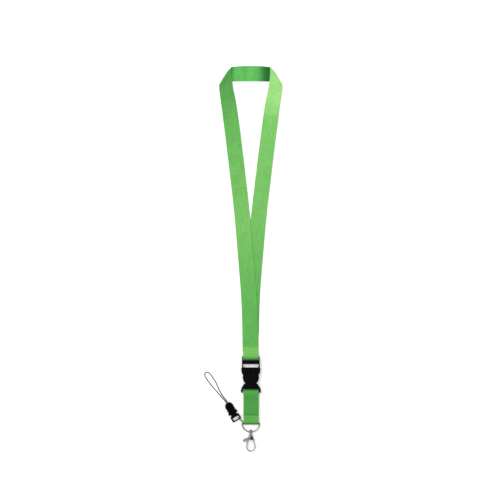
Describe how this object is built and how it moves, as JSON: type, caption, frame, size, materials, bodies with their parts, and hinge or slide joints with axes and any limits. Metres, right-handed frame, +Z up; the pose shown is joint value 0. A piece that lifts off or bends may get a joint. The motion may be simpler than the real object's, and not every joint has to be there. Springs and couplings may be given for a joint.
{
  "type": "lanyard badge holder",
  "caption": "Flat green neck lanyard with a detachable side-release buckle, D-ring, swivel lobster hook and a small buckle with a phone cord loop.",
  "frame": {"origin": "centre of the lanyard's footprint (without the phone cord), on the surface it lies on", "axes": "+Z up from the surface, +Y along the lanyard towards the neck fold, +X to the right of the hook's straight arm"},
  "size_m": [0.1021, 0.5, 0.007],
  "materials": {
    "green_ribbon": "fine matte polyester weave",
    "green_thread": "matte sewing thread",
    "black_plastic": "satin moulded plastic",
    "small_black_plastic": "semi-gloss moulded plastic",
    "nickel": "bright nickel plate",
    "rivet_steel": "plain bright steel",
    "tether_thread": "dark waxed thread",
    "cord_fibre": "dark grey twisted cord"
  },
  "bodies": {
    "neck": {"neck_ribbon": "green_ribbon", "neck_stitching": "green_thread"},
    "male_buckle": {"male_buckle_base": "black_plastic"},
    "left_latch": {"left_latch_arm": "black_plastic"},
    "right_latch": {"right_latch_arm": "black_plastic"},
    "female_buckle": {"female_buckle": "black_plastic"},
    "lower_strap": {"lower_strap": "green_ribbon", "lower_strap_stitching": "green_thread"},
    "d_ring": {"d_ring": "nickel"},
    "swivel_eye": {"swivel_eye": "nickel"},
    "hook": {"hook_body": "nickel", "gate_rivet": "rivet_steel", "gate_spring": "rivet_steel"},
    "gate": {"hook_gate": "nickel"},
    "tether": {"tether_cord": "tether_thread", "tether_knot": "tether_thread"},
    "mini_male": {"mini_male_base": "small_black_plastic"},
    "mini_left_latch": {"mini_left_arm": "small_black_plastic"},
    "mini_right_latch": {"mini_right_arm": "small_black_plastic"},
    "mini_female": {"mini_female_head": "small_black_plastic", "phone_cord": "cord_fibre", "phone_cord_knot": "cord_fibre"}
  },
  "joints": [
    {"name": "buckle_swing", "type": "hinge", "parent": "neck", "child": "male_buckle", "pos_m": [0, -0.1292, 0.0035], "axis": [-1, 0, 0], "range_deg": [0, 90]},
    {"name": "left_latch_squeeze", "type": "hinge", "parent": "male_buckle", "child": "left_latch", "pos_m": [-0.0066, -0.1434, 0.0035], "axis": [0, 0, 1], "range_deg": [0, 8], "stiffness_Nm_per_rad": 0.2},
    {"name": "right_latch_squeeze", "type": "hinge", "parent": "male_buckle", "child": "right_latch", "pos_m": [0.0066, -0.1434, 0.0035], "axis": [0, 0, -1], "range_deg": [0, 8], "stiffness_Nm_per_rad": 0.2},
    {"name": "buckle_release", "type": "slide", "parent": "male_buckle", "child": "female_buckle", "axis": [0, -1, 0], "range_m": [0, 0.026], "deforming": ["left_latch_arm", "right_latch_arm"]},
    {"name": "lower_strap_swing", "type": "hinge", "parent": "female_buckle", "child": "lower_strap", "pos_m": [0, -0.1706, 0.0035], "axis": [-1, 0, 0], "range_deg": [0, 90]},
    {"name": "ring_swing", "type": "hinge", "parent": "lower_strap", "child": "d_ring", "pos_m": [0, -0.2129, 0.0027], "axis": [-1, 0, 0], "range_deg": [0, 100]},
    {"name": "eye_swing", "type": "hinge", "parent": "d_ring", "child": "swivel_eye", "pos_m": [0, -0.2243, 0.0027], "axis": [-1, 0, 0], "range_deg": [0, 80]},
    {"name": "hook_swivel", "type": "hinge", "parent": "swivel_eye", "child": "hook", "pos_m": [0, -0.229, 0.0027], "axis": [0, 1, 0], "continuous": true},
    {"name": "gate_open", "type": "hinge", "parent": "hook", "child": "gate", "pos_m": [-0.0035, -0.233, 0.0027], "axis": [0, 0, 1], "range_deg": [0, 28], "stiffness_Nm_per_rad": 0.01, "springref_deg": -17.19, "deforming": ["gate_spring"]},
    {"name": "tether_lift", "type": "hinge", "parent": "lower_strap", "child": "tether", "pos_m": [-0.0101, -0.2129, 0.0027], "axis": [1, 0, 0], "range_deg": [0, 90]},
    {"name": "mini_swing", "type": "hinge", "parent": "tether", "child": "mini_male", "pos_m": [-0.01656, -0.2057, 0.0023], "axis": [0, 0, 1], "range_deg": [-25, 60]},
    {"name": "mini_left_squeeze", "type": "hinge", "parent": "mini_male", "child": "mini_left_latch", "pos_m": [-0.02517, -0.2012, 0.0021], "axis": [0, 0, -1], "range_deg": [0, 8], "stiffness_Nm_per_rad": 0.05},
    {"name": "mini_right_squeeze", "type": "hinge", "parent": "mini_male", "child": "mini_right_latch", "pos_m": [-0.02083, -0.1987, 0.0021], "axis": [0, 0, 1], "range_deg": [0, 8], "stiffness_Nm_per_rad": 0.05},
    {"name": "mini_release", "type": "slide", "parent": "mini_male", "child": "mini_female", "axis": [-0.5, 0.866, 0], "range_m": [0, 0.011], "deforming": ["mini_left_arm", "mini_right_arm"]}
  ]
}
